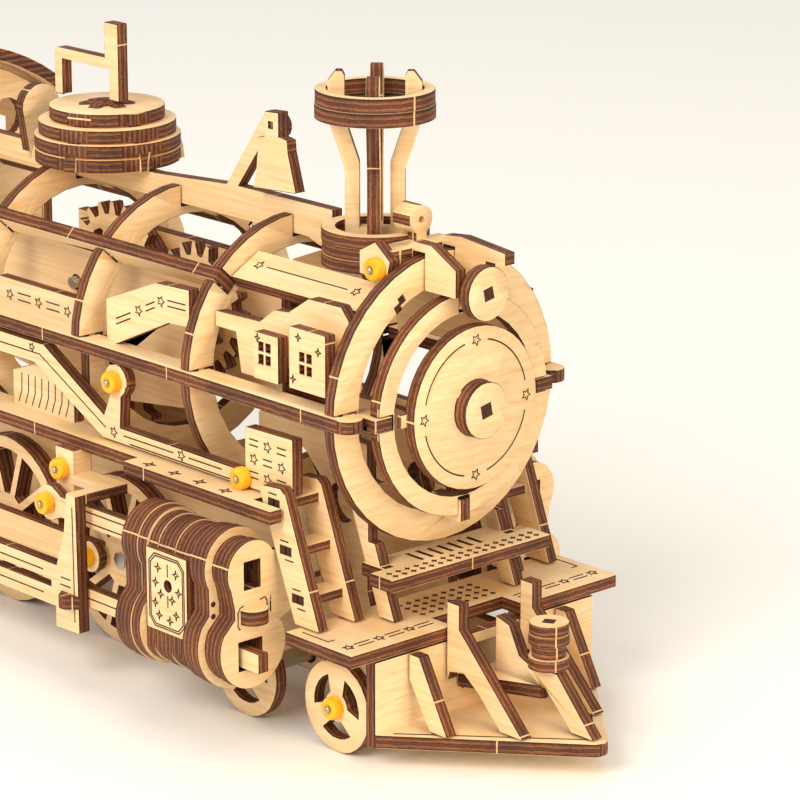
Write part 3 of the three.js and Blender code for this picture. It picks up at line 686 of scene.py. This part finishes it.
def makeMarkTree():
    tree = bpy.data.node_groups.new("laserMarks", "GeometryNodeTree")
    face = tree.interface
    face.new_socket("Geometry", in_out="INPUT", socket_type="NodeSocketGeometry")
    width = face.new_socket("Line Width", in_out="INPUT", socket_type="NodeSocketFloat")
    burnt = face.new_socket("BurntAndShade", in_out="INPUT", socket_type="NodeSocketMaterial")
    face.new_socket("Geometry", in_out="OUTPUT", socket_type="NodeSocketGeometry")
    given = addNode(tree, "NodeGroupInput").outputs
    kind = addNode(tree, "GeometryNodeInputNamedAttribute", {"Name": "markKind"}, data_type="INT")
    turn = addNode(tree, "GeometryNodeInputNamedAttribute", {"Name": "markTurn"},
                   data_type="FLOAT_VECTOR")
    size = addNode(tree, "GeometryNodeInputNamedAttribute", {"Name": "markSize"}, data_type="FLOAT")
    rotation = addNode(tree, "FunctionNodeEulerToRotation", {"Euler": turn.outputs["Attribute"]})
    shapes = {
        1: addNode(tree, "GeometryNodeCurveStar", {
            "Points": 5, "Inner Radius": 0.45, "Outer Radius": 1.0}).outputs["Curve"],
        2: addNode(tree, "GeometryNodeCurveStar", {
            "Points": 4, "Inner Radius": 0.27, "Outer Radius": 1.0}).outputs["Curve"],
        3: addNode(tree, "GeometryNodeMeshCylinder", {
            "Vertices": 20, "Radius": 1.0, "Depth": 0.06}).outputs["Mesh"],
        4: addNode(tree, "GeometryNodeMeshCube", {"Size": (2.0, 2.0, 0.04)}).outputs["Mesh"],
    }
    realized = {}
    for number, shape in shapes.items():
        chosen = addNode(tree, "FunctionNodeCompare", {
            2: kind.outputs["Attribute"], 3: number}, data_type="INT", operation="EQUAL")
        spots = addNode(tree, "GeometryNodeInstanceOnPoints", {
            "Points": given["Geometry"], "Selection": chosen.outputs["Result"], "Instance": shape,
            "Rotation": rotation.outputs["Rotation"], "Scale": size.outputs["Attribute"]})
        realized[number] = addNode(tree, "GeometryNodeRealizeInstances", {
            "Geometry": spots.outputs["Instances"]}).outputs["Geometry"]
    lines = addNode(tree, "GeometryNodeMeshToCurve", {"Mesh": given["Geometry"]}).outputs["Curve"]
    curves = addNode(tree, "GeometryNodeJoinGeometry")
    for source in (lines, realized[1], realized[2]):
        tree.links.new(source, curves.inputs[0])
    even = addNode(tree, "GeometryNodeSetCurveRadius", {
        "Curve": curves.outputs[0], "Radius": 1.0}).outputs["Curve"]
    half = addNode(tree, "ShaderNodeMath", {0: given["Line Width"], 1: 0.5}, operation="MULTIPLY")
    section = addNode(tree, "GeometryNodeCurvePrimitiveCircle", {
        "Resolution": 4, "Radius": half.outputs[0]}).outputs["Curve"]
    tubes = addNode(tree, "GeometryNodeCurveToMesh", {
        "Curve": even, "Profile Curve": section, "Fill Caps": True}).outputs["Mesh"]
    everything = addNode(tree, "GeometryNodeJoinGeometry")
    for source in (tubes, realized[3], realized[4]):
        tree.links.new(source, everything.inputs[0])
    solid = addNode(tree, "GeometryNodeRealizeInstances", {"Geometry": everything.outputs[0]})
    dark = addNode(tree, "GeometryNodeSetMaterial", {
        "Geometry": solid.outputs["Geometry"], "Material": given["BurntAndShade"]})
    addNode(tree, "NodeGroupOutput", {"Geometry": dark.outputs["Geometry"]})
    return tree, width.identifier, burnt.identifier


def addLine(marks, points):
    marks.append(("line", points))


def addSpot(marks, kind, point, way, size, spin=0.0):
    marks.append((kind, point, way, size, spin))


def otherSide(marks):
    flipped = {"-y": "+y", "roof": "roofLeft"}
    copies = []
    for mark in marks:
        if mark[0] == "line":
            copies.append(("line", [(x, -y, z) for x, y, z in mark[1]]))
        else:
            kind, (x, y, z), way, size, spin = mark
            copies.append((kind, (x, -y, z), flipped.get(way, way), size, -spin))
    return copies


def markMesh(name, marks, markTree):
    tree, widthSocket, burntAndShadeSocket = markTree
    verts = []
    edges = []
    kinds = []
    turns = []
    sizes = []
    for mark in marks:
        if mark[0] == "line":
            first = len(verts)
            verts += [at(*p) for p in mark[1]]
            edges += [(first + i, first + i + 1) for i in range(len(mark[1]) - 1)]
            kinds += [0] * len(mark[1])
            turns += [(0, 0, 0)] * len(mark[1])
            sizes += [0.0] * len(mark[1])
        else:
            kind, point, way, size, spin = mark
            base = markTurns[way]
            verts.append(at(*point))
            kinds.append(markKinds[kind])
            spun = Euler(base).to_matrix() @ Euler((0, 0, math.radians(spin))).to_matrix()
            turns.append(tuple(spun.to_euler()))
            sizes.append(size * mm)
    mesh = bpy.data.meshes.new(name + "Guide")
    mesh.from_pydata(verts, edges, [])
    for label, kind, values in (("markKind", "INT", kinds), ("markSize", "FLOAT", sizes)):
        mesh.attributes.new(label, kind, "POINT").data.foreach_set("value", values)
    flat = [value for turn in turns for value in turn]
    mesh.attributes.new("markTurn", "FLOAT_VECTOR", "POINT").data.foreach_set("vector", flat)
    guide = bpy.data.objects.new(name + "Guide", mesh)
    bpy.context.collection.objects.link(guide)
    modifier = guide.modifiers.new("marks", "NODES")
    modifier.node_group = tree
    modifier[widthSocket] = markSettings["width"] * mm
    modifier[burntAndShadeSocket] = engravingAndPaintedShade
    bpy.context.view_layer.update()
    evaluated = guide.evaluated_get(bpy.context.evaluated_depsgraph_get())
    result = bpy.data.meshes.new_from_object(evaluated)
    result.name = name
    bpy.data.objects.remove(guide)
    place(result, name, "chassis")


def doorMarks():
    marks = []
    r = 10.3
    for quarter in range(4):
        a = math.radians(90 * quarter)
        addSpot(marks, "star", (0, r * math.cos(a), r * math.sin(a)), "x", markSettings["star"], 10)
        between = arc(0, 0, r, 90 * quarter + 13, 90 * quarter + 77, 16)
        addLine(marks, [(0, u, v) for u, v in between])
    addSpot(marks, "square", (2.3, 0, 0), "x", 1.05, 12)
    addSpot(marks, "square", (2.6, 0, 17.7), "x", 0.95, 12)
    for side in (1, -1):
        for step in (-0.72, 0.72):
            tilt = math.radians(60)
            middle = (-6.6, side * (-9.1 + step * math.cos(tilt)), 16.0 + step * math.sin(tilt))
            addSpot(marks, "square", middle, "x", 0.62, 30 * side)
    return marks


def addPairOfLines(marks, x, y, z, half, step=0.45):
    for lift in (-step, step):
        addLine(marks, [(x - half, y, z + lift), (x + half, y, z + lift)])


def leverMarks():
    marks = []
    y = -22.5
    for z, pattern in ((-6.2, "lsl"), (-8.7, "sls"), (-11.2, "lsl")):
        for x, kind in zip((-24.0, -20.9, -17.7), pattern):
            if kind == "s":
                addSpot(marks, "star", (x, y, z), "-y", markSettings["star"])
            else:
                addPairOfLines(marks, x, y, z, 1.0)
    for x0, x1, z in ((-55.2, -43, -12.0), (-39.3, -31.5, -12.0), (-53.6, -28.5, -13.05)):
        addLine(marks, [(x0, y, z), (x1, y, z)])
    addSpot(marks, "star", (-41.1, y, -12.0), "-y", markSettings["star"])
    addSpot(marks, "star", (-57.6, y, -11.9), "-y", markSettings["star"])
    addLine(marks, [(-59.6, y, -11.6), (-76.2, y, -3.2), (-103, y, -3.2)])
    addSpot(marks, "star", (-78.2, y, -2.4), "-y", markSettings["star"] * 0.8)
    return marks


def panelMarks():
    marks = []
    y = -20
    for rise in (-0.45, 0.45):
        addLine(marks, [(-59.6, y, 5.0 + rise), (-56.0, y, 6.6 + rise)])
        addLine(marks, [(-52.2, y, 8.5 + rise), (-50.0, y, 9.5 + rise)])
        addLine(marks, [(-46.9, y, 10.3 + rise), (-42.6, y, 10.4 + rise)])
    addSpot(marks, "star", (-54.0, y, 7.8), "-y", markSettings["star"])
    addSpot(marks, "star", (-48.5, y, 10.3), "-y", markSettings["star"])
    for x in (-87, -79.5, -72):
        addSpot(marks, "star", (x, y, 4.1), "-y", markSettings["star"])
    for x in (-83.2, -75.7):
        for z in (3.6, 4.7):
            addLine(marks, [(x - 1.7, y, z), (x + 1.7, y, z)])
    # the two small window plates
    for x, z, plane in ((-25.4, 9.3, -20.4), (-15.5, 11.4, -21), (-11.1, 10.0, -21),
                        (-16.7, 4.9, -21)):
        addSpot(marks, "sparkle", (x, plane, z), "-y", markSettings["sparkle"])
    # the sloping strip above them
    across = Vector((0, math.cos(roofTilt), math.sin(roofTilt)))
    top = Vector((0, -10.6, 15.6)) + roofNormal
    row = top + across * 0.4
    for x in (-36.2, -14.3):
        addSpot(marks, "star", (x, row.y, row.z), "roof", markSettings["star"])
    addLine(marks, [(-34.4, row.y, row.z), (-16.2, row.y, row.z)])
    return marks


def moveMark(mark):
    if mark[0] == "line":
        return ("line", [movedIn(*p) for p in mark[1]])
    kind, point, way, size, spin = mark
    return (kind, movedIn(*point), way, size, spin)


def cylinderMarks():
    marks = []
    y = -38
    x0 = cylinderSettings["front"] - 12.9
    z0 = -27.3
    for w, h, cut in ((4.1, 5.7, 1.3), (3.75, 5.35, 1.15)):
        ring = [(-w + cut, h), (w - cut, h), (w, h - cut), (w, -h + cut), (w - cut, -h),
                (-w + cut, -h), (-w, -h + cut), (-w, h - cut), (-w + cut, h)]
        addLine(marks, [(x0 + u, y, z0 + v) for u, v in ring])
    for u, v in ((-2.0, 3.6), (2.2, 3.4), (-2.6, 1.2), (2.8, 0.7), (-1.4, -0.4), (1.3, -0.8),
                 (-2.7, -2.0), (-1.8, -3.8), (2.2, -3.0), (0.7, -4.2)):
        addSpot(marks, "sparkle", (x0 + u, y, z0 + v), "-y", markSettings["sparkle"] * 1.1)
    for v0, v1 in ((4.6, 2.6), (-0.3, -2.2)):
        addLine(marks, [(x0 + 0.25, y, z0 + v0), (x0 + 0.25, y, z0 + v1)])
    # two holes in the second pair of sheets, drawn as flat dark discs of painted shade for the dark
    # inside of each hole, and the slot that the tongue comes through
    x = cylinderSettings["front"]
    for z in (-27.1, -29.0):
        addSpot(marks, "dot", (x - 4, -36.4, z), "x", 0.45)
    addLine(marks, [(x, -35.0, -27.7), (x, -35.0, -30), (x, -34.6, -30.5)])
    addLine(marks, [(x, -35.0, -27.9), (x, -34.6, -27.1), (x, -33.9, -26.9)])
    addLine(marks, [(x, -30.8, -26.6), (x, -29.8, -26.4), (x, -29.4, -27.0), (x, -29.4, -28.2)])
    return [moveMark(mark) for mark in marks]


def hangingMarks():
    marks = []
    # lines on the long slide bars and the valve rod
    for z, x0, x1 in ((-33.2, -106, -62), (-37.0, -106, -62), (-35.1, -56.4, -32)):
        addLine(marks, [(x0, -34.2, z), (x1, -34.2, z)])
    addLine(marks, [(-57.4, -33, -21.7), (-32, -33, -21.7)])
    addLine(marks, [(-57.4, -33, -23.4), (-32, -33, -23.4)])
    addLine(marks, [(-51, -36.6, -20), (-50.9, -36.6, -38.6)])
    for x0, z in ((-54.2, -32), (-54.4, -33.2)):
        addLine(marks, [(x0, -36.6, z), (-51.8, -36.6, z)])
    marks = [moveMark(mark) for mark in marks]
    # the curved hatch of the panel behind the lever
    for i in range(8):
        x = -85 + 1.75 * i
        addLine(marks, [(x, -20.3, -13.2), (x + 0.9, -20.3, -11.0), (x + 1.0, -20.3, -8.2)])
    # tread ends that come through the ladder's side, drawn as dark squares that are partly the charred
    # ply end and partly painted shade in the slot, with a short line above and below each
    for z in (-26.4, -19.5, -12.8):
        x = -7.3 - (z + 31.4) * 0.385 - 2.6
        addSpot(marks, "square", (x - 0.6, -24.6, z - 0.7), "-y", 0.72)
        addSpot(marks, "square", (x + 0.6, -24.6, z - 0.7), "-y", 0.72)
        for lift in (-2.1, 0.7):
            middle = x - lift * 0.385
            addLine(marks, [(middle - 0.9, -24.6, z + lift), (middle + 0.9, -24.6, z + lift)])
    return marks


def deckMarks():
    marks = []
    z = -31.4
    for side in (1, -1):
        for y in (13.0, 19.0, 25.0):
            addSpot(marks, "star", (-0.2, side * y, z), "z", markSettings["star"], 20)
        for y in (10.2, 16.0, 22.0):
            for x in (-0.7, 0.3):
                addLine(marks, [(x, side * (y - 1.5), z), (x, side * (y + 1.5), z)])
        addLine(marks, [(-9.6, side * 25.6, z), (-4.0, side * 25.6, z), (-4.0, side * 24.4, z)])
    for i in range(9):
        for j in range(4):
            addSpot(marks, "sparkle", (-3.6 - 1.7 * j, -7.2 + 1.8 * i, z), "z", markSettings["plus"])
    z = -23.3
    for i in range(17):
        for x in (-1.7, -3.1):
            addSpot(marks, "sparkle", (x, -14.4 + 1.8 * i, z), "z", markSettings["plus"])
    for y in (-12.4, 12.4):
        for x in (-7.2, -6.0):
            addSpot(marks, "square", (x, y, z), "z", 0.85)
    addLine(marks, [(3.9, -19.9, -44.9), (24.6, -0.8, -44.9), (24.6, 0.8, -44.9), (3.9, 19.9, -44.9)])
    addSpot(marks, "square", (15.8, 0, -29.1), "z", 0.9, 30)
    # footplates: crosses in a row outside the lever
    for side in (1, -1):
        for x in (-45, -39, -33, -27):
            addSpot(marks, "sparkle", (x, side * 25.6, -13.7), "z", 1.15, 20)
    return marks


makeCamera()
makeLights()
stacks = {"cylinder_right", "cylinder_left", "chimney_base", "chimney_crown", "buffer"}
for nodeName in sorted(nodeBody):
    if nodeName not in stacks:
        dressNode(nodeName)
print("plywood pieces dressed:", len(nodeBody) - len(stacks))
buildStacks()
print("stacks built sheet by sheet")
buildCaps()
print("caps fitted")
marksTree = makeMarkTree()
markMesh("smokeboxMarks", doorMarks(), marksTree)
for label, marksMade in (("leverMarks", leverMarks()), ("panelMarks", panelMarks()),
                         ("cylinderMarks", cylinderMarks()), ("hangingMarks", hangingMarks())):
    markMesh(label, marksMade + otherSide(marksMade), marksTree)
markMesh("deckMarks", deckMarks(), marksTree)
print("laser marks burnt")


def makeFloor():
    mesh = bpy.data.meshes.new("studioFloor")
    half = floorSettings["size"] / 2
    corners = [(-half, -half, 0), (half, -half, 0), (half, half, 0), (-half, half, 0)]
    mesh.from_pydata(corners, [], [(0, 1, 2, 3)])
    material, tree, shader = newMaterial("palePaperSweep")
    shader.inputs["Base Color"].default_value = linear(floorSettings["colour"])
    shader.inputs["Roughness"].default_value = 0.9
    mesh.materials.append(material)
    floor = bpy.data.objects.new("studioFloor", mesh)
    bpy.context.collection.objects.link(floor)


makeFloor()
